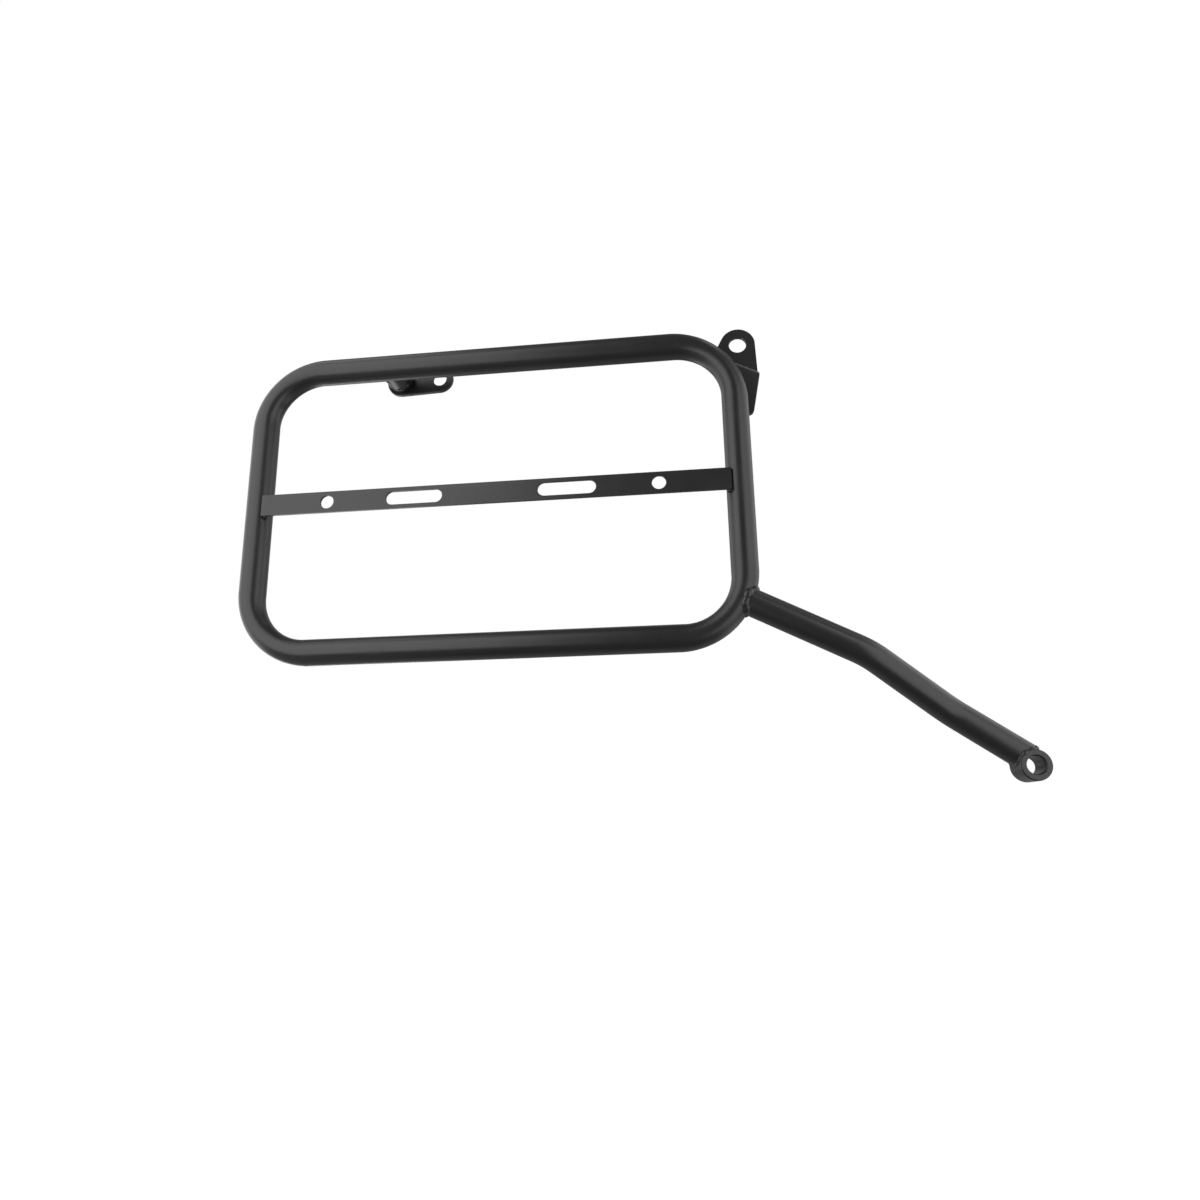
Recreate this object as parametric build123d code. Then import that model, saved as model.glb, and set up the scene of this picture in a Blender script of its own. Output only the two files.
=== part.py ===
from build123d import *
import math
import os

os.makedirs("parts", exist_ok=True)

# Right-hand pannier frame of a motorbike: welded steel tube and flat bar, painted black.
# X points to the front of the bike, Y towards the bike, Z up. The origin is the centre of the
# crossbar's hole pattern, on the crossbar's outer face, which is also where the pannier rests.

# Round tube, the same stock for the hoop, the strut and the short stub
TUBE_DIAMETER = 18.0
TUBE_WALL = 2.0

# Hoop, sizes on the tube's centreline
HOOP_LENGTH = 334.0
HOOP_HEIGHT = 207.0
HOOP_BEND_RADIUS = 42.0
BEND_FLATTENING = 0.09
SEAM_WIDTH = 1.6
SEAM_HEIGHT = 4.0

# Crossbar, flat bar with two round holes outside and two slots inside
CROSSBAR_HEIGHT = 15.0
CROSSBAR_THICKNESS = 2.0
CROSSBAR_HOLE_DIAMETER = 9.5
CROSSBAR_HOLE_SPACING = 228.0
SLOT_LENGTH = 39.5
SLOT_WIDTH = 9.5
SLOT_SPACING = 105.0

# Both bracket plates bolt to the bike in one plane, this far behind the hoop's centreline
MOUNTING_OFFSET = 23.0

# Front bracket: joggled plate on the back of the hoop's upper front bend
FRONT_PLATE_THICKNESS = 3.0
FRONT_HOLE_DIAMETER = 12.3
FRONT_TAB_RADIUS = 12.3
FRONT_HOLE_FORWARD = 5.3
FRONT_HOLE_ABOVE = 9.7
FOLD_ANGLE = 28.0
FOLD_FROM_BEND_CENTRE = 47.7
FOLD_RUN = 5.5
FOLD_RADIUS = 2.6
SHOULDER_OVERHANG = 9.5
SHOULDER_BELOW = 20.8
LEG_OVERHANG = 3.7
LEG_END_BELOW_BEND = 8.3
LEG_CORNER_RADIUS = 4.5
LEG_INNER_OFFSET = 5.0
LEG_WAIST_ABOVE_BEND = 14.5

# Rear bracket: stub of tube standing back from the top of the hoop, with a flat plate on its end
STUB_POSITION = -75.0
REAR_PLATE_THICKNESS = 3.0
REAR_STUB_END_RADIUS = 11.0
REAR_HOLE_END_RADIUS = 10.0
REAR_HOLE_REACH = 28.6
REAR_HOLE_DIAMETER = 10.0

# Strut down to the foot-peg mount, with two bends that bring it inboard
STRUT_BEND_RADIUS = 45.0
STRUT_ROOT_ANGLE = 23.9
STRUT_UPPER_ANGLE = 27.3
STRUT_UPPER_LENGTH = 85.5
STRUT_LOWER_ANGLE = 35.0
STRUT_MIDDLE_LENGTH = 60.5
STRUT_INBOARD_STEP = 20.0
STRUT_LOWER_LENGTH = 55.7
STRUT_END_SETBACK = 4.5

# Eye at the strut's foot
EYE_DIAMETER = 19.0
EYE_BORE = 11.0
EYE_LENGTH = 20.0
EYE_CHAMFER = 0.6
EYE_DROP = 3.3

# Weld beads: reach of the bead from the joint, and where the longer beads start and stop
BEAD = 2.2
SMALL_BEAD = 1.8
EYE_BEAD = 3.0
STRUT_BEAD_START = 3.0
STRUT_BEAD_REACH = 16.0
EYE_BEAD_INSET = 0.3
STUB_BEAD_START = 3.0
GROOVE_BEAD_OFFSET = 6.0
GROOVE_BEAD_DEPTH = 1.5
LEG_BEAD_INSET = 4.0
LEG_BEAD_TURN = 35.0
LEG_INNER_BEAD_OFFSET = 5.6
LEG_INNER_BEAD_LENGTH = 16.0

# Sizes that follow from the ones above
TUBE_RADIUS = TUBE_DIAMETER / 2
BORE_RADIUS = TUBE_RADIUS - TUBE_WALL
HOOP_Y = TUBE_RADIUS
BEND_X = HOOP_LENGTH / 2 - HOOP_BEND_RADIUS
BEND_Z = HOOP_HEIGHT / 2 - HOOP_BEND_RADIUS
FRONT_TUBE_X = HOOP_LENGTH / 2
TOP_TUBE_Z = HOOP_HEIGHT / 2
TUBE_BACK = HOOP_Y + TUBE_RADIUS
LEG_END_Z = BEND_Z - LEG_END_BELOW_BEND
LEG_BEAD_START_Z = LEG_END_Z + LEG_BEAD_INSET
MOUNTING_FACE = HOOP_Y + MOUNTING_OFFSET


def facing(y):
    """Plane at depth y whose own axes are the object's X and Z."""
    return Plane(origin=(0, y, 0), x_dir=(1, 0, 0), z_dir=(0, -1, 0))


def slab(face, near, far):
    """Plate with the outline of a face, from depth near to depth far."""
    return extrude(facing(far) * face, amount=far - near)


def along_y(x, z, radius, near, far):
    """Round bar or hole parallel to Y."""
    return slab(Pos(x, z) * Circle(radius), near, far)


def bend_points(before, corner, after, radius):
    """Start, middle and end of the arc that rounds a corner of a tube's path."""
    back = (before - corner).normalized()
    ahead = (after - corner).normalized()
    half = math.radians(back.get_angle(ahead)) / 2
    run = radius / math.tan(half)
    bisector = (back + ahead).normalized()
    middle = corner + bisector * (radius / math.sin(half) - radius)
    return corner + back * run, middle, corner + ahead * run


# Hoop: straights and four flattened bends, built as one quarter and mirrored
def bend_section(angle, radius, squash):
    """Section of a bend: round, or squashed in the plane of the hoop."""
    outward = Vector(math.cos(math.radians(angle)), 0, math.sin(math.radians(angle)))
    centre = Vector(BEND_X, HOOP_Y, BEND_Z) + outward * HOOP_BEND_RADIUS
    tangent = Vector(-outward.Z, 0, outward.X)
    return Plane(origin=centre, x_dir=outward, z_dir=tangent) * Ellipse(radius - squash, radius)


def hoop_bar(radius):
    """Closed hoop of a solid round bar, the outside or the bore of the tube."""
    squash = BEND_FLATTENING * TUBE_RADIUS
    side_plane = Plane(origin=(FRONT_TUBE_X, HOOP_Y, 0), z_dir=(0, 0, 1))
    side = extrude(side_plane * Circle(radius), amount=BEND_Z)
    top_plane = Plane(origin=(0, HOOP_Y, TOP_TUBE_Z), z_dir=(1, 0, 0))
    top = extrude(top_plane * Circle(radius), amount=BEND_X)
    arc = facing(HOOP_Y) * CenterArc((BEND_X, BEND_Z), HOOP_BEND_RADIUS, 0, 90)
    sections = [bend_section(0, radius, 0), bend_section(45, radius, squash), bend_section(90, radius, 0)]
    bend = sweep(sections, path=arc, multisection=True)
    quarter = side + bend + top
    half = quarter + mirror(quarter, about=Plane.YZ)
    return half + mirror(half, about=Plane.XY)


hoop_outside = hoop_bar(TUBE_RADIUS)
hoop_ring = hoop_outside - hoop_bar(BORE_RADIUS)
seam_slab = Pos(-FRONT_TUBE_X, HOOP_Y, SEAM_HEIGHT) * Cylinder(TUBE_DIAMETER, SEAM_WIDTH)
hoop_tube = hoop_ring - seam_slab
hoop_seam_weld = hoop_ring & seam_slab

# Crossbar: its outer face lies in the hoop's front plane, its rear edges touch the side tubes
crossbar_half = FRONT_TUBE_X - math.sqrt(TUBE_RADIUS**2 - (TUBE_RADIUS - CROSSBAR_THICKNESS) ** 2)
crossbar_face = Rectangle(2 * crossbar_half, CROSSBAR_HEIGHT)
for side in (-1, 1):
    crossbar_face -= Pos(side * CROSSBAR_HOLE_SPACING / 2, 0) * Circle(CROSSBAR_HOLE_DIAMETER / 2)
    crossbar_face -= Pos(side * SLOT_SPACING / 2, 0) * SlotOverall(SLOT_LENGTH, SLOT_WIDTH)
crossbar = slab(crossbar_face, 0, CROSSBAR_THICKNESS)


# Front bracket: a sheet bent twice along oblique lines, then trimmed to its outline
def front_bracket_outline():
    """Outline of the front bracket seen from outside the bike."""
    across = Vector(math.sin(math.radians(FOLD_ANGLE)), math.cos(math.radians(FOLD_ANGLE)))
    hole = Vector(FRONT_TUBE_X + FRONT_HOLE_FORWARD, TOP_TUBE_Z + FRONT_HOLE_ABOVE)
    shoulder = Vector(FRONT_TUBE_X + TUBE_RADIUS + SHOULDER_OVERHANG, TOP_TUBE_Z - SHOULDER_BELOW)
    tab_left = hole + Vector(-across.Y, across.X) * FRONT_TAB_RADIUS
    above_fold = (hole - Vector(BEND_X, BEND_Z)).dot(across) - FOLD_FROM_BEND_CENTRE
    left_foot = tab_left - across * above_fold
    drop = shoulder - hole
    tangent_angle = math.atan2(drop.Y, drop.X) + math.acos(FRONT_TAB_RADIUS / drop.length)
    tab_right = hole + Vector(math.cos(tangent_angle), math.sin(tangent_angle)) * FRONT_TAB_RADIUS
    leg_inner = FRONT_TUBE_X - LEG_INNER_OFFSET
    leg_outer = FRONT_TUBE_X + TUBE_RADIUS + LEG_OVERHANG
    edges = Polyline(
        tab_left,
        left_foot,
        (leg_inner, BEND_Z + LEG_WAIST_ABOVE_BEND),
        (leg_inner, LEG_END_Z),
        (leg_outer, LEG_END_Z),
        shoulder,
        tab_right,
    )
    edges += ThreePointArc(tab_right, hole + across * FRONT_TAB_RADIUS, tab_left)
    outline = make_face(edges)
    outline = fillet(outline.vertices().sort_by(Axis.Y)[:2], LEG_CORNER_RADIUS)
    return outline - Pos(hole.X, hole.Y) * Circle(FRONT_HOLE_DIAMETER / 2)


def joggled_sheet():
    """Sheet with the leg against the back of the tube and the tab set back from it."""
    across = Vector(math.sin(math.radians(FOLD_ANGLE)), 0, math.cos(math.radians(FOLD_ANGLE)))
    along = Vector(-across.Z, 0, across.X)
    leg_depth = TUBE_BACK + FRONT_PLATE_THICKNESS / 2
    tab_depth = MOUNTING_FACE - FRONT_PLATE_THICKNESS / 2
    reach = HOOP_HEIGHT / 2
    middle_line = FilletPolyline(
        (-reach, leg_depth),
        (FOLD_FROM_BEND_CENTRE, leg_depth),
        (FOLD_FROM_BEND_CENTRE + FOLD_RUN, tab_depth),
        (reach, tab_depth),
        radius=FOLD_RADIUS,
    )
    profile = trace(middle_line, line_width=FRONT_PLATE_THICKNESS)
    profile_plane = Plane(origin=(BEND_X, 0, BEND_Z), x_dir=across, z_dir=along)
    return extrude(profile_plane * profile, amount=reach, both=True)


front_bracket = joggled_sheet() & slab(front_bracket_outline(), TUBE_BACK, MOUNTING_FACE)

# Rear bracket: stub coped to the top tube, plate across its end
stub_end = MOUNTING_FACE - REAR_PLATE_THICKNESS
stub_outside = along_y(STUB_POSITION, TOP_TUBE_Z, TUBE_RADIUS, HOOP_Y, stub_end)
stub_bore = along_y(STUB_POSITION, TOP_TUBE_Z, BORE_RADIUS, HOOP_Y, stub_end)
rear_bracket_stub = stub_outside - stub_bore - hoop_outside

end_difference = (REAR_STUB_END_RADIUS - REAR_HOLE_END_RADIUS) / REAR_HOLE_REACH
flank = math.sqrt(1 - end_difference**2)
plate_flanks = Polygon(
    (REAR_STUB_END_RADIUS * end_difference, -REAR_STUB_END_RADIUS * flank),
    (REAR_HOLE_REACH + REAR_HOLE_END_RADIUS * end_difference, -REAR_HOLE_END_RADIUS * flank),
    (REAR_HOLE_REACH + REAR_HOLE_END_RADIUS * end_difference, REAR_HOLE_END_RADIUS * flank),
    (REAR_STUB_END_RADIUS * end_difference, REAR_STUB_END_RADIUS * flank),
    align=None,
)
plate_face = plate_flanks + Circle(REAR_STUB_END_RADIUS)
plate_face += Pos(REAR_HOLE_REACH, 0) * Circle(REAR_HOLE_END_RADIUS)
plate_face -= Pos(REAR_HOLE_REACH, 0) * Circle(REAR_HOLE_DIAMETER / 2)
rear_bracket_plate = slab(Pos(STUB_POSITION, TOP_TUBE_Z) * plate_face, stub_end, MOUNTING_FACE)

# Strut: centreline from the hoop's lower front bend to the eye
root_angle = math.radians(STRUT_ROOT_ANGLE)
upper_angle = math.radians(STRUT_UPPER_ANGLE)
lower_angle = math.radians(STRUT_LOWER_ANGLE)
upper_direction = Vector(math.cos(upper_angle), 0, -math.sin(upper_angle))
lower_direction = Vector(math.cos(lower_angle), 0, -math.sin(lower_angle))
below_strut = Vector(-math.sin(lower_angle), 0, -math.cos(lower_angle))
root_outward = Vector(math.cos(root_angle), 0, -math.sin(root_angle))
strut_root = Vector(BEND_X, HOOP_Y, -BEND_Z) + root_outward * HOOP_BEND_RADIUS
first_corner = strut_root + upper_direction * STRUT_UPPER_LENGTH
inboard_step = Vector(0, STRUT_INBOARD_STEP, 0)
second_corner = first_corner + lower_direction * STRUT_MIDDLE_LENGTH + inboard_step
eye_station = second_corner + lower_direction * STRUT_LOWER_LENGTH
strut_end = eye_station - lower_direction * STRUT_END_SETBACK
eye_centre = eye_station + below_strut * EYE_DROP

first_bend = bend_points(strut_root, first_corner, second_corner, STRUT_BEND_RADIUS)
second_bend = bend_points(first_corner, second_corner, strut_end, STRUT_BEND_RADIUS)
strut_path = Wire(
    [
        Line(strut_root, first_bend[0]),
        ThreePointArc(*first_bend),
        Line(first_bend[2], second_bend[0]),
        ThreePointArc(*second_bend),
        Line(second_bend[2], strut_end),
    ]
)
root_plane = Plane(origin=strut_root, z_dir=upper_direction)
strut_outside = sweep(root_plane * Circle(TUBE_RADIUS), path=strut_path)
strut_bore = sweep(root_plane * Circle(BORE_RADIUS), path=strut_path)
eye_near = eye_centre.Y - EYE_LENGTH / 2
eye_far = eye_centre.Y + EYE_LENGTH / 2
eye_outside = along_y(eye_centre.X, eye_centre.Z, EYE_DIAMETER / 2, eye_near, eye_far)
eye_bore = along_y(eye_centre.X, eye_centre.Z, EYE_BORE / 2, eye_near, eye_far)
strut_tube = strut_outside - strut_bore - hoop_outside - eye_outside
mounting_eye = chamfer((eye_outside - eye_bore).edges().filter_by(GeomType.CIRCLE), EYE_CHAMFER)


# Weld beads, cut back to the faces of the pieces that they join
def capsule(centre, radius, length):
    """Upright straight bead with round ends."""
    ends = [Pos(0, 0, side * length / 2) * Sphere(radius) for side in (-1, 1)]
    return Pos(*centre) * (Cylinder(radius, length) + ends)


crossbar_welds = {}
for name, side in (("rear", -1), ("front", 1)):
    groove = (side * (crossbar_half - SMALL_BEAD), CROSSBAR_THICKNESS + SMALL_BEAD / 2, 0)
    crossbar_welds[name] = capsule(groove, SMALL_BEAD, CROSSBAR_HEIGHT) - hoop_outside - crossbar

groove_depth = TUBE_BACK - GROOVE_BEAD_DEPTH
groove_x = FRONT_TUBE_X + GROOVE_BEAD_OFFSET
groove_radius = HOOP_BEND_RADIUS + GROOVE_BEAD_OFFSET
outer_bead_path = Wire(
    [
        facing(groove_depth) * Line((groove_x, LEG_BEAD_START_Z), (groove_x, BEND_Z)),
        facing(groove_depth) * CenterArc((BEND_X, BEND_Z), groove_radius, 0, LEG_BEAD_TURN),
    ]
)
outer_bead_plane = Plane(origin=(groove_x, groove_depth, LEG_BEAD_START_Z), z_dir=(0, 0, 1))
outer_bead = sweep(outer_bead_plane * Circle(BEAD), path=outer_bead_path)
outer_bead += [Pos(*(outer_bead_path @ end)) * Sphere(BEAD) for end in (0, 1)]
front_bracket_weld_outer = outer_bead - hoop_outside - front_bracket

inner_bead_x = FRONT_TUBE_X - LEG_INNER_BEAD_OFFSET
inner_bead_z = LEG_BEAD_START_Z + LEG_INNER_BEAD_LENGTH / 2
inner_bead = capsule((inner_bead_x, TUBE_BACK - SMALL_BEAD / 2, inner_bead_z), BEAD, LEG_INNER_BEAD_LENGTH)
front_bracket_weld_inner = inner_bead - hoop_outside - front_bracket

stub_collar = along_y(
    STUB_POSITION, TOP_TUBE_Z, TUBE_RADIUS + SMALL_BEAD, HOOP_Y + STUB_BEAD_START, stub_end
)
top_tube_plane = Plane(origin=(STUB_POSITION, HOOP_Y, TOP_TUBE_Z), z_dir=(1, 0, 0))
top_tube_collar = extrude(top_tube_plane * Circle(TUBE_RADIUS + SMALL_BEAD), amount=TUBE_DIAMETER, both=True)
rear_stub_weld = (stub_collar & top_tube_collar) - hoop_outside - stub_outside

plate_fillet = Cone(TUBE_RADIUS + SMALL_BEAD, TUBE_RADIUS, SMALL_BEAD)
plate_fillet_plane = Plane(origin=(STUB_POSITION, stub_end - SMALL_BEAD / 2, TOP_TUBE_Z), z_dir=(0, -1, 0))
rear_plate_weld = plate_fillet_plane * plate_fillet - stub_outside

bead_ring = Circle(TUBE_RADIUS + BEAD)
strut_collar = extrude(root_plane.offset(STRUT_BEAD_START) * bead_ring, amount=STRUT_BEAD_REACH)
hoop_bend_plane = Plane(origin=(BEND_X, HOOP_Y, -BEND_Z), z_dir=(0, 1, 0))
hoop_collar = hoop_bend_plane * Torus(HOOP_BEND_RADIUS, TUBE_RADIUS + BEAD)
strut_hoop_weld = (strut_collar & hoop_collar) - hoop_outside - strut_outside

end_plane = Plane(origin=strut_end, z_dir=-lower_direction)
strut_end_collar = extrude(end_plane * bead_ring, amount=STRUT_BEAD_REACH)
strut_end_cap = loft([end_plane * bead_ring, end_plane.offset(-EYE_BEAD) * Circle(BORE_RADIUS)])
eye_bead_radius = EYE_DIAMETER / 2 + EYE_BEAD
eye_bead_near = eye_near + EYE_BEAD_INSET
eye_bead_far = eye_far - EYE_BEAD_INSET
eye_collar = along_y(eye_centre.X, eye_centre.Z, eye_bead_radius, eye_bead_near, eye_bead_far)
strut_eye_weld = ((strut_end_collar + strut_end_cap) & eye_collar) - eye_outside - strut_outside

# One file for each piece
pieces = {
    "hoop_tube": hoop_tube,
    "hoop_seam_weld": hoop_seam_weld,
    "crossbar": crossbar,
    "crossbar_weld_front": crossbar_welds["front"],
    "crossbar_weld_rear": crossbar_welds["rear"],
    "front_bracket": front_bracket,
    "front_bracket_weld_outer": front_bracket_weld_outer,
    "front_bracket_weld_inner": front_bracket_weld_inner,
    "rear_bracket_stub": rear_bracket_stub,
    "rear_bracket_plate": rear_bracket_plate,
    "rear_stub_weld": rear_stub_weld,
    "rear_plate_weld": rear_plate_weld,
    "strut_tube": strut_tube,
    "strut_hoop_weld": strut_hoop_weld,
    "mounting_eye": mounting_eye,
    "strut_eye_weld": strut_eye_weld,
}
for name, piece in pieces.items():
    export_step(piece, f"parts/{name}.step")
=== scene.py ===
import math
import random

import bmesh
import bpy
from mathutils import Matrix, Vector
from mathutils.bvhtree import BVHTree


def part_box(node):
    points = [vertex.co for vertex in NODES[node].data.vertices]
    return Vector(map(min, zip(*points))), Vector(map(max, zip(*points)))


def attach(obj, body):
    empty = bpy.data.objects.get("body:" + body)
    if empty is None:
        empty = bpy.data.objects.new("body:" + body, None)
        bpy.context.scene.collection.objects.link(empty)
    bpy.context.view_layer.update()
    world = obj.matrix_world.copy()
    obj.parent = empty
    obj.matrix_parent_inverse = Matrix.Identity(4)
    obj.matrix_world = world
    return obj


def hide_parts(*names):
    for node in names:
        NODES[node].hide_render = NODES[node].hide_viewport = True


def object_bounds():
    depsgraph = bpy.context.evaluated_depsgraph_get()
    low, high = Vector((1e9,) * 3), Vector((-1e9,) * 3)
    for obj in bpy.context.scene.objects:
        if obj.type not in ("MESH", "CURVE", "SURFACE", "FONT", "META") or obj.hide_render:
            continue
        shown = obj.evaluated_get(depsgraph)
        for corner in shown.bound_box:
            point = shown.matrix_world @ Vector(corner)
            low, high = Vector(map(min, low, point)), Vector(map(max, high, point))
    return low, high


bl_info = {
    "name": "Pannier frame",
    "version": (1, 0, 0),
    "blender": (4, 5, 0),
    "location": "View3D > Sidebar > Pannier frame",
    "description": "Powder-coated steel pannier frame with hand-laid weld beads, on a plain stage",
    "category": "Object",
}

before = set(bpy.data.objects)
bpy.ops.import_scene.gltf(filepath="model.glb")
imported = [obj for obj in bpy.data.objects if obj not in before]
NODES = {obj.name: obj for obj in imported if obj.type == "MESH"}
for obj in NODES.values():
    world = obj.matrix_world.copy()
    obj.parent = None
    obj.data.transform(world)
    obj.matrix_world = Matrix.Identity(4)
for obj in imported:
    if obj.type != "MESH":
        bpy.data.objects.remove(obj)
CAD_LOW, CAD_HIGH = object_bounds()
BODY = "root"

# Lengths are in metres; X points forward, Y towards the bike and Z up
MM = 0.001

# How the frame is bent, with slopes and turns in degrees: these say where the joints lie
HOOP_BEND_RADIUS = 42.0 * MM
STRUT_ROOT_SLOPE = 23.9
STRUT_UPPER_SLOPE = 27.3
STRUT_LOWER_SLOPE = 35.0
STRUT_END_SETBACK = 4.5 * MM
EYE_DROP = 3.3 * MM

# Radius of each weld bead, and how deep the middle of a ring is sunk in its corner
ROOT_BEAD = 3.2 * MM
ROOT_SINK = 1.2 * MM
EYE_BEAD = 2.3 * MM
EYE_SINK = 0.9 * MM
STUB_BEAD = 2.0 * MM
LUG_BEAD = 1.8 * MM
STUB_SINK = 0.8 * MM
CROSSBAR_BEAD = 1.8 * MM
LEG_BEAD = 2.2 * MM

# How the rings are found: rays run along the tube just inside its skin
RING_INSET = 0.3 * MM
RING_STEPS = 48

# Groove between the front bracket's leg and the hoop
LEG_GROOVE = 6.0 * MM
LEG_GROOVE_DEPTH = 1.5 * MM
LEG_BEAD_TURN = 35.0
LEG_BEND_STEPS = 12

# Lumps of a hand-laid bead: length, size and spacing against the mean, and how far each wanders
LUMP_LENGTH = (0.7, 1.3)
LUMP_SIZE = (0.8, 1.12)
LUMP_SPACING = (0.5, 1.3)
WANDER = 0.18
LUMP_SUBDIVISIONS = 3
SETTLE_FACTOR = 0.5
SETTLE_STEPS = 5

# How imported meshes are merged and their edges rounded
MERGE_DISTANCE = 0.002 * MM
FLAT_ANGLE = math.radians(1.0)
SHARP_ANGLE = math.radians(35.0)
EDGE_SEGMENTS = 3
FLAT_FACE_WEIGHT = 100

# Powder coat: usual range of the cloud pattern, and how much glossier and duller it makes the coat
CLOUD_RANGE = (0.3, 0.7)
GLOSSIER = 0.04
DULLER = 0.05

# Studio: white floor that glows as brightly as the white behind it, and a dimmer room round the object
WHITE = "#ffffff"
FLOOR_REACH = 6.0
FLOOR_GRAIN = 0.4
FLOOR_GRAIN_TONE = 0.97
FLOOR_ROUGHNESS = 0.9
FLOOR_GLOW = 0.88
BACKDROP_BRIGHTNESS = 1.0
ROOM_BRIGHTNESS = 0.22
SENSOR_WIDTH_MM = 36.0
NEAREST_SEEN = 0.01

# Light tent: name, middle, point faced, width and height, brightness of each white panel
PANELS = (
    ("front_left_panel", (-0.63, -0.50, 0.29), (-0.63, 0.0, 0.29), (1.12, 1.30), 2.20),
    ("front_right_panel", (0.89, -0.50, 0.00), (0.89, 0.0, 0.00), (1.02, 1.16), 1.80),
    ("left_panel", (-1.20, 0.35, 0.36), (0.0, 0.35, 0.36), (1.70, 1.86), 1.30),
    ("right_panel", (1.40, 0.35, 0.50), (0.0, 0.35, 0.50), (1.70, 1.54), 1.25),
    ("upper_left_panel", (-0.78, -0.13, 1.30), (-0.78, -0.13, 0.0), (0.85, 0.74), 1.50),
    ("upper_right_panel", (1.16, -0.09, 1.30), (1.16, -0.09, 0.0), (0.48, 0.82), 0.70),
    ("ceiling_strip", (0.60, 0.05, 1.30), (0.60, 0.05, 0.0), (0.16, 0.90), 2.00),
    ("rear_panel", (0.10, 1.20, 0.75), (0.10, 0.0, 0.75), (2.60, 1.10), 0.35),
    ("low_rear_left_panel", (-0.82, 1.20, -0.38), (-0.82, 0.0, -0.38), (0.76, 0.44), 2.60),
    ("left_floor_bounce", (-0.72, 0.35, -0.58), (-0.72, 0.35, 0.0), (0.97, 1.70), 0.30),
    ("right_floor_bounce", (1.00, 0.35, -0.58), (1.00, 0.35, 0.0), (0.80, 1.70), 1.00),
    ("rear_floor_bounce", (0.21, 0.62, -0.58), (0.21, 0.62, 0.0), (0.87, 1.16), 0.20),
)


def downhill(slope):
    """Forward direction that falls by a slope in degrees."""
    return Vector((math.cos(math.radians(slope)), 0, -math.sin(math.radians(slope))))


def middle_of(node):
    """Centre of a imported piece's box."""
    low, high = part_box(node)
    return (low + high) / 2


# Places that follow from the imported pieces
HOOP_LOW, HOOP_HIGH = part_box("hoop_tube")
TUBE_RADIUS = (HOOP_HIGH.y - HOOP_LOW.y) / 2
HOOP_Y = middle_of("hoop_tube").y
BEND_X = HOOP_HIGH.x - TUBE_RADIUS - HOOP_BEND_RADIUS
BEND_Z = HOOP_HIGH.z - TUBE_RADIUS - HOOP_BEND_RADIUS
STUB = Vector((middle_of("rear_bracket_stub").x, HOOP_HIGH.y, HOOP_HIGH.z - TUBE_RADIUS))
STRUT_UPPER = downhill(STRUT_UPPER_SLOPE)
STRUT_LOWER = downhill(STRUT_LOWER_SLOPE)
STRUT_ROOT = Vector((BEND_X, HOOP_Y, -BEND_Z)) + downhill(STRUT_ROOT_SLOPE) * HOOP_BEND_RADIUS
ABOVE_STRUT = Vector((-STRUT_LOWER.z, 0, STRUT_LOWER.x))
STRUT_END = middle_of("mounting_eye") + ABOVE_STRUT * EYE_DROP - STRUT_LOWER * STRUT_END_SETBACK


class CoatSettings(bpy.types.PropertyGroup):
    """Colours and finish of the powder coat"""

    tube_colour: bpy.props.StringProperty(
        name="Tube coat", description="sRGB hex colour of the coat on round tube", default="#151516"
    )
    plate_colour: bpy.props.StringProperty(
        name="Plate coat", description="sRGB hex colour of the coat on flat bar and plate", default="#18181a"
    )
    weld_colour: bpy.props.StringProperty(
        name="Weld coat", description="sRGB hex colour of the coat over weld beads", default="#131314"
    )
    roughness: bpy.props.FloatProperty(
        name="Roughness",
        description="Roughness of the satin coat",
        default=0.34,
        min=0.0,
        max=1.0,
        subtype="FACTOR",
    )
    edge_radius: bpy.props.FloatProperty(
        name="Edge radius",
        description="Radius that the coat gives the cut edges of plate",
        default=0.5 * MM,
        unit="LENGTH",
    )


class WeldSettings(bpy.types.PropertyGroup):
    """Ripples of the weld beads"""

    ripple_pitch: bpy.props.FloatProperty(
        name="Ripple pitch",
        description="Mean distance between the ripples of a bead",
        default=2.7 * MM,
        unit="LENGTH",
    )
    voxel: bpy.props.FloatProperty(
        name="Voxel",
        description="Cell size in which a bead's ripples are melted together",
        default=0.3 * MM,
        unit="LENGTH",
    )


class StageSettings(bpy.types.PropertyGroup):
    """Floor and camera"""

    floor_colour: bpy.props.StringProperty(
        name="Floor", description="sRGB hex colour of the studio floor", default="#f4f4f3"
    )
    floor_height: bpy.props.FloatProperty(
        name="Floor height", description="Height of the studio floor", default=-0.62, unit="LENGTH"
    )
    camera_place: bpy.props.FloatVectorProperty(
        name="Camera",
        description="Place of the camera",
        default=(0.1349, -0.5359, -0.2181),
        unit="LENGTH",
        subtype="TRANSLATION",
    )
    camera_target: bpy.props.FloatVectorProperty(
        name="Target",
        description="Point that the camera looks at",
        default=(0.0727, 0.009, -0.07596),
        unit="LENGTH",
        subtype="TRANSLATION",
    )
    camera_roll: bpy.props.FloatProperty(
        name="Roll",
        description="Turn of the camera about its line of sight",
        default=math.radians(-0.919),
        unit="ROTATION",
    )
    focal_length: bpy.props.FloatProperty(
        name="Focal length", description="Focal length of the lens", default=26.1, unit="CAMERA"
    )


def linear(hex_colour):
    """Linear RGBA of an sRGB hex colour."""
    values = [int(hex_colour[i : i + 2], 16) / 255 for i in (1, 3, 5)]
    return [v / 12.92 if v <= 0.04045 else ((v + 0.055) / 1.055) ** 2.4 for v in values] + [1.0]


def scaled(colour, factor):
    """A linear colour made lighter or darker."""
    return [c * factor for c in colour[:3]] + [1.0]


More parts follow.
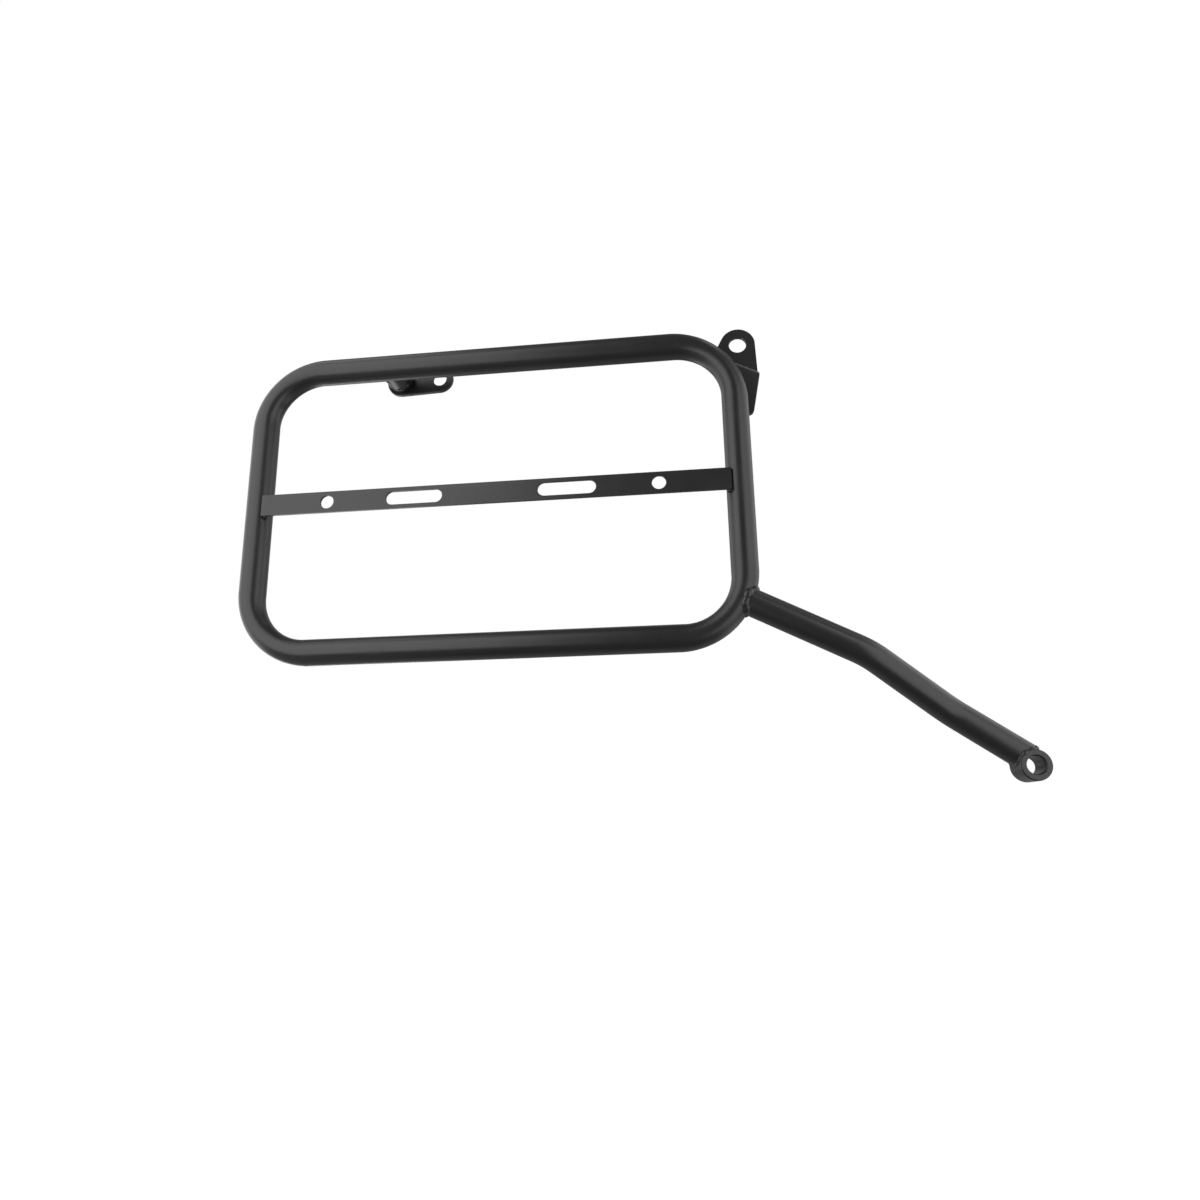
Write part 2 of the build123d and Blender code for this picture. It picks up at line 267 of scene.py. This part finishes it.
def add_node(tree, kind, settings=None, values=None, links=None):
    """Adds one node with its settings, socket values and incoming links."""
    node = tree.nodes.new(kind)
    for key, value in (settings or {}).items():
        setattr(node, key, value)
    for key, value in (values or {}).items():
        node.inputs[key].default_value = value
    for key, output in (links or {}).items():
        tree.links.new(output, node.inputs[key])
    return node


def new_material(name):
    """Empty node material and its tree."""
    material = bpy.data.materials.new(name)
    material.use_nodes = True
    material.node_tree.nodes.clear()
    return material, material.node_tree


def powder_coat(name, colour, roughness, peel, peel_height, cloud, cloud_depth):
    """Baked polyester powder: a satin skin with a fine orange peel and slightly uneven gloss."""
    material, tree = new_material(name)
    place = add_node(tree, "ShaderNodeTexCoord").outputs["Object"]
    # Orange peel breaks up the edges of the long highlights
    peel_noise = add_node(
        tree,
        "ShaderNodeTexNoise",
        values={"Scale": 1 / peel, "Detail": 3.0, "Roughness": 0.55},
        links={"Vector": place},
    )
    # Clouds of thicker and thinner coat keep the black from looking flat
    cloud_noise = add_node(
        tree,
        "ShaderNodeTexNoise",
        values={"Scale": 1 / cloud, "Detail": 4.0, "Roughness": 0.6},
        links={"Vector": place},
    )
    tone = linear(colour)
    shade = add_node(
        tree,
        "ShaderNodeMix",
        settings={"data_type": "RGBA"},
        values={"A": scaled(tone, 1 - cloud_depth), "B": scaled(tone, 1 + cloud_depth)},
        links={"Factor": cloud_noise.outputs["Fac"]},
    )
    gloss = add_node(
        tree,
        "ShaderNodeMapRange",
        values={
            "From Min": CLOUD_RANGE[0],
            "From Max": CLOUD_RANGE[1],
            "To Min": roughness - GLOSSIER,
            "To Max": roughness + DULLER,
        },
        links={"Value": cloud_noise.outputs["Fac"]},
    )
    bump = add_node(
        tree,
        "ShaderNodeBump",
        values={"Strength": 1.0, "Distance": peel_height},
        links={"Height": peel_noise.outputs["Fac"]},
    )
    surface = add_node(
        tree,
        "ShaderNodeBsdfPrincipled",
        values={"IOR": 1.5, "Metallic": 0.0},
        links={
            "Base Color": shade.outputs["Result"],
            "Roughness": gloss.outputs["Result"],
            "Normal": bump.outputs["Normal"],
        },
    )
    add_node(tree, "ShaderNodeOutputMaterial", links={"Surface": surface.outputs["BSDF"]})
    return material


def floor_paint(colour):
    """Matt white floor paint: a plain white ground with no gloss and hardly any grain."""
    material, tree = new_material("matt_white_floor_paint")
    place = add_node(tree, "ShaderNodeTexCoord").outputs["Object"]
    grain = add_node(
        tree,
        "ShaderNodeTexNoise",
        values={"Scale": 1 / FLOOR_GRAIN, "Detail": 2.0},
        links={"Vector": place},
    )
    tone = linear(colour)
    shade = add_node(
        tree,
        "ShaderNodeMix",
        settings={"data_type": "RGBA"},
        values={"A": tone, "B": scaled(tone, FLOOR_GRAIN_TONE)},
        links={"Factor": grain.outputs["Fac"]},
    )
    surface = add_node(
        tree,
        "ShaderNodeBsdfPrincipled",
        values={
            "Roughness": FLOOR_ROUGHNESS,
            "Emission Color": linear(WHITE),
            "Emission Strength": FLOOR_GLOW,
        },
        links={"Base Color": shade.outputs["Result"]},
    )
    add_node(tree, "ShaderNodeOutputMaterial", links={"Surface": surface.outputs["BSDF"]})
    return material


def dress(piece, material):
    """Gives a piece one material."""
    piece.data.materials.clear()
    piece.data.materials.append(material)


def object_from(name, builder):
    """Object made from a bmesh and put in the scene."""
    mesh = bpy.data.meshes.new(name)
    builder.to_mesh(mesh)
    builder.free()
    made = bpy.data.objects.new(name, mesh)
    bpy.context.scene.collection.objects.link(made)
    return made


def mesh_piece(name, builder, material, replaced):
    """Makes a piece from a bmesh, gives it its finish and puts it on the frame."""
    piece = object_from(name, builder)
    dress(piece, material)
    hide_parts(*replaced)
    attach(piece, BODY)
    return piece


def smooth_faces(builder):
    """Shades every face smooth."""
    for face in builder.faces:
        face.smooth = True


def merged_copy(node):
    """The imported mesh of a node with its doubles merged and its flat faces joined."""
    builder = bmesh.new()
    builder.from_mesh(NODES[node].data)
    bmesh.ops.remove_doubles(builder, verts=builder.verts, dist=MERGE_DISTANCE)
    bmesh.ops.dissolve_limit(
        builder,
        angle_limit=FLAT_ANGLE,
        verts=builder.verts,
        edges=builder.edges,
        use_dissolve_boundaries=False,
    )
    return builder


def round_edges(builder, radius):
    """Rounds every cut edge of a plate as the coat does."""
    sharp = [e for e in builder.edges if e.is_manifold and e.calc_face_angle() > SHARP_ANGLE]
    bmesh.ops.bevel(
        builder,
        geom=sharp,
        offset=radius,
        offset_type="OFFSET",
        affect="EDGES",
        segments=EDGE_SEGMENTS,
        profile=0.5,
        material=-1,
        clamp_overlap=True,
    )
    smooth_faces(builder)


def keep_flats_flat(piece):
    """Lets the large faces rule the shading, so that only the rounded edges look round."""
    weighted = piece.modifiers.new("Flat faces", "WEIGHTED_NORMAL")
    weighted.mode = "FACE_AREA"
    weighted.weight = FLAT_FACE_WEIGHT
    weighted.keep_sharp = True


def bead(builder, points, radius, pitch, seed):
    """Row of overlapping lumps along a joint, as uneven as a hand-held torch lays them."""
    drops = random.Random(seed)
    lengths = [0.0]
    for a, b in zip(points, points[1:]):
        lengths.append(lengths[-1] + (b - a).length)
    goal = 0.0
    while goal <= lengths[-1]:
        k = max(j for j in range(len(lengths) - 1) if lengths[j] <= goal)
        run = lengths[k + 1] - lengths[k]
        share = (goal - lengths[k]) / run if run else 0.0
        tangent = (points[k + 1] - points[k]).normalized()
        size = radius * drops.uniform(*LUMP_SIZE)
        centre = points[k].lerp(points[k + 1], share)
        centre += Vector([drops.uniform(-WANDER, WANDER) * radius for _ in range(3)])
        # No lump stands out past the frame's front or back
        centre.y = min(max(centre.y, CAD_LOW.y + size), CAD_HIGH.y - size)
        turn = tangent.to_track_quat("X", "Z").to_matrix().to_4x4()
        squash = Matrix.Diagonal((drops.uniform(*LUMP_LENGTH), 1.0, 1.0, 1.0))
        bmesh.ops.create_icosphere(
            builder,
            subdivisions=LUMP_SUBDIVISIONS,
            radius=size,
            matrix=Matrix.Translation(centre) @ turn @ squash,
        )
        goal += pitch * drops.uniform(*LUMP_SPACING)


def melted(builder, voxel):
    """One closed skin round overlapping drops."""
    source = object_from("drops", builder)
    mesh = source.data
    remesh = source.modifiers.new("Melt", "REMESH")
    remesh.mode = "VOXEL"
    remesh.voxel_size = voxel
    smooth = source.modifiers.new("Settle", "SMOOTH")
    smooth.factor = SETTLE_FACTOR
    smooth.iterations = SETTLE_STEPS
    bpy.context.view_layer.update()
    shape = source.evaluated_get(bpy.context.evaluated_depsgraph_get()).to_mesh()
    result = bmesh.new()
    result.from_mesh(shape)
    smooth_faces(result)
    bpy.data.objects.remove(source)
    bpy.data.meshes.remove(mesh)
    return result


def skin_of(node):
    """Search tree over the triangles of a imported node."""
    builder = bmesh.new()
    builder.from_mesh(NODES[node].data)
    tree = BVHTree.FromBMesh(builder)
    builder.free()
    return tree


def ring_joint(skin, end, direction, reach, sink):
    """Middle of a bead sunk in the corner where a round tube's end meets another piece."""
    across = direction.orthogonal().normalized()
    points = []
    for i in range(RING_STEPS + 1):
        turn = Matrix.Rotation(math.tau * i / RING_STEPS, 3, direction)
        on_end = end + turn @ across * (TUBE_RADIUS - RING_INSET - sink)
        hit, _, _, _ = skin.ray_cast(on_end - direction * reach, direction, reach)
        if hit is None:
            near, _, _, _ = skin.find_nearest(on_end)
            hit = (on_end + near) / 2
        points.append(hit + direction * sink)
    return points


def leg_joint():
    """Groove between the front bracket's leg and the outside of the hoop: straight, then round the bend."""
    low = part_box("front_bracket_weld_outer")[0].z + LEG_BEAD
    radius = HOOP_BEND_RADIUS + LEG_GROOVE
    depth = HOOP_HIGH.y - LEG_GROOVE_DEPTH
    path = [Vector((BEND_X + radius, depth, low))]
    for i in range(LEG_BEND_STEPS + 1):
        turn = math.radians(LEG_BEAD_TURN) * i / LEG_BEND_STEPS
        path.append(Vector((BEND_X + radius * math.cos(turn), depth, BEND_Z + radius * math.sin(turn))))
    return path


def upright_joint(node, radius):
    """Middle of a straight upright bead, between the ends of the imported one."""
    low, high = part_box(node)
    place = (low + high) / 2
    return [Vector((place.x, place.y, low.z + radius)), Vector((place.x, place.y, high.z - radius))]


def weld_paths():
    """Name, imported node, path and radius of every bead."""
    hoop = skin_of("hoop_tube")
    eye = skin_of("mounting_eye")
    lug = skin_of("rear_bracket_plate")
    inboard = Vector((0, 1, 0))
    root_ring = ring_joint(hoop, STRUT_ROOT, -STRUT_UPPER, reach=40 * MM, sink=ROOT_SINK)
    eye_ring = ring_joint(eye, STRUT_END, STRUT_LOWER, reach=30 * MM, sink=EYE_SINK)
    stub_ring = ring_joint(hoop, STUB, -inboard, reach=10 * MM, sink=STUB_SINK)
    lug_ring = ring_joint(lug, STUB, inboard, reach=20 * MM, sink=STUB_SINK)
    beads = [
        ("strut_root_weld", "strut_hoop_weld", root_ring, ROOT_BEAD),
        ("eye_weld", "strut_eye_weld", eye_ring, EYE_BEAD),
        ("stub_weld", "rear_stub_weld", stub_ring, STUB_BEAD),
        ("lug_weld", "rear_plate_weld", lug_ring, LUG_BEAD),
        ("bracket_outer_weld", "front_bracket_weld_outer", leg_joint(), LEG_BEAD),
    ]
    for name, node, radius in (
        ("crossbar_front_weld", "crossbar_weld_front", CROSSBAR_BEAD),
        ("crossbar_rear_weld", "crossbar_weld_rear", CROSSBAR_BEAD),
        ("bracket_inner_weld", "front_bracket_weld_inner", LEG_BEAD),
    ):
        beads.append((name, node, upright_joint(node, radius), radius))
    return beads


def place_camera(scene, stage):
    """Camera at the photograph's viewing angle."""
    data = bpy.data.cameras.new("camera")
    camera = bpy.data.objects.new("camera", data)
    scene.collection.objects.link(camera)
    scene.camera = camera
    data.sensor_width = SENSOR_WIDTH_MM
    data.lens = stage.focal_length
    data.clip_start = NEAREST_SEEN
    sight = Vector(stage.camera_target) - Vector(stage.camera_place)
    turn = sight.to_track_quat("-Z", "Y").to_matrix().to_4x4()
    roll = Matrix.Rotation(stage.camera_roll, 4, "Z")
    camera.matrix_world = Matrix.Translation(stage.camera_place) @ turn @ roll


def lay_floor(stage):
    """Plain floor that the camera sees, while the panels give all the light."""
    builder = bmesh.new()
    bmesh.ops.create_grid(
        builder,
        x_segments=1,
        y_segments=1,
        size=FLOOR_REACH,
        matrix=Matrix.Translation((0, 0, stage.floor_height)),
    )
    floor = object_from("floor", builder)
    dress(floor, floor_paint(stage.floor_colour))
    floor.visible_diffuse = False
    floor.visible_glossy = False


def white_studio():
    """World that is white to the camera and dim to everything else."""
    world = bpy.data.worlds.new("white_studio")
    world.use_nodes = True
    tree = world.node_tree
    tree.nodes.clear()
    seen = add_node(tree, "ShaderNodeLightPath").outputs["Is Camera Ray"]
    room, backdrop = [
        add_node(tree, "ShaderNodeBackground", values={"Color": linear(WHITE), "Strength": brightness})
        for brightness in (ROOM_BRIGHTNESS, BACKDROP_BRIGHTNESS)
    ]
    both = add_node(
        tree,
        "ShaderNodeMixShader",
        links={0: seen, 1: room.outputs["Background"], 2: backdrop.outputs["Background"]},
    )
    add_node(tree, "ShaderNodeOutputWorld", links={"Surface": both.outputs["Shader"]})
    return world


def hang_panels(scene):
    """Soft white panels round the object, which the camera doesn't see."""
    for name, place, target, size, radiance in PANELS:
        light = bpy.data.lights.new(name, "AREA")
        light.shape = "RECTANGLE"
        light.size, light.size_y = size
        light.energy = radiance * math.pi * size[0] * size[1]
        lamp = bpy.data.objects.new(name, light)
        lamp.location = place
        lamp.rotation_euler = (Vector(target) - Vector(place)).to_track_quat("-Z", "Y").to_euler()
        lamp.visible_camera = False
        scene.collection.objects.link(lamp)


class PANNIER_OT_stage(bpy.types.Operator):
    """Set up the floor, the soft light and the camera"""

    bl_idname = "pannier.stage"
    bl_label = "Set the stage"

    def execute(self, context):
        scene = context.scene
        stage = scene.pannier_stage
        scene.view_settings.view_transform = "Standard"
        place_camera(scene, stage)
        lay_floor(stage)
        scene.world = white_studio()
        hang_panels(scene)
        return {"FINISHED"}


class PANNIER_OT_tubes(bpy.types.Operator):
    """Coat the round tube of the hoop, the strut and the rear stub"""

    bl_idname = "pannier.tubes"
    bl_label = "Coat the tubes"

    def execute(self, context):
        coat = context.scene.pannier_coat
        # Powder on drawn tube: long even highlights with slow clouds
        finish = powder_coat(
            "black_powder_coat_on_tube",
            coat.tube_colour,
            coat.roughness,
            peel=1.6 * MM,
            peel_height=0.010 * MM,
            cloud=45.0 * MM,
            cloud_depth=0.10,
        )
        for node in ("hoop_tube", "strut_tube", "rear_bracket_stub"):
            dress(NODES[node], finish)
        return {"FINISHED"}


class PANNIER_OT_plates(bpy.types.Operator):
    """Make the crossbar, both bracket plates and the eye with coated, slightly rounded edges"""

    bl_idname = "pannier.plates"
    bl_label = "Make the plates"

    def execute(self, context):
        coat = context.scene.pannier_coat
        # Powder on flat plate: a slightly deeper peel that greys the flat faces evenly
        finish = powder_coat(
            "black_powder_coat_on_plate",
            coat.plate_colour,
            coat.roughness,
            peel=1.4 * MM,
            peel_height=0.012 * MM,
            cloud=30.0 * MM,
            cloud_depth=0.14,
        )
        for name, node in (
            ("crossbar_flat_bar", "crossbar"),
            ("front_bracket_pressing", "front_bracket"),
            ("rear_bracket_lug", "rear_bracket_plate"),
            ("foot_eye_bush", "mounting_eye"),
        ):
            builder = merged_copy(node)
            round_edges(builder, coat.edge_radius)
            keep_flats_flat(mesh_piece(name, builder, finish, (node,)))
        return {"FINISHED"}


class PANNIER_OT_welds(bpy.types.Operator):
    """Lay the rippled weld beads in the joints"""

    bl_idname = "pannier.welds"
    bl_label = "Lay the welds"

    def execute(self, context):
        coat = context.scene.pannier_coat
        weld = context.scene.pannier_weld
        # Powder over weld beads: the darkest coat, with a peel that roughens the lumps
        finish = powder_coat(
            "black_powder_coat_on_weld",
            coat.weld_colour,
            coat.roughness,
            peel=1.2 * MM,
            peel_height=0.015 * MM,
            cloud=12.0 * MM,
            cloud_depth=0.12,
        )
        for seed, (name, node, path, radius) in enumerate(weld_paths()):
            builder = bmesh.new()
            bead(builder, path, radius, weld.ripple_pitch, seed)
            mesh_piece(name, melted(builder, weld.voxel), finish, (node,))
        dress(NODES["hoop_seam_weld"], finish)
        return {"FINISHED"}


class PANNIER_PT_panel(bpy.types.Panel):
    """Lists the steps that make the pannier frame"""

    bl_idname = "PANNIER_PT_panel"
    bl_label = "Pannier frame"
    bl_space_type = "VIEW_3D"
    bl_region_type = "UI"
    bl_category = "Pannier frame"

    def draw(self, context):
        for group in SETTINGS:
            settings = getattr(context.scene, group)
            for name in settings.bl_rna.properties.keys():
                if name not in ("rna_type", "name"):
                    self.layout.prop(settings, name)
        for step in STEPS:
            self.layout.operator(step.bl_idname)


SETTINGS = {
    "pannier_coat": CoatSettings,
    "pannier_weld": WeldSettings,
    "pannier_stage": StageSettings,
}
STEPS = (PANNIER_OT_stage, PANNIER_OT_tubes, PANNIER_OT_plates, PANNIER_OT_welds)


def register():
    for cls in (*SETTINGS.values(), *STEPS, PANNIER_PT_panel):
        bpy.utils.register_class(cls)
    for name, cls in SETTINGS.items():
        setattr(bpy.types.Scene, name, bpy.props.PointerProperty(type=cls))


def unregister():
    for name in SETTINGS:
        delattr(bpy.types.Scene, name)
    for cls in (PANNIER_PT_panel, *STEPS, *SETTINGS.values()):
        bpy.utils.unregister_class(cls)


def main():
    register()
    bpy.ops.pannier.stage()
    bpy.ops.pannier.tubes()
    bpy.ops.pannier.plates()
    bpy.ops.pannier.welds()


if __name__ == "__main__":
    main()
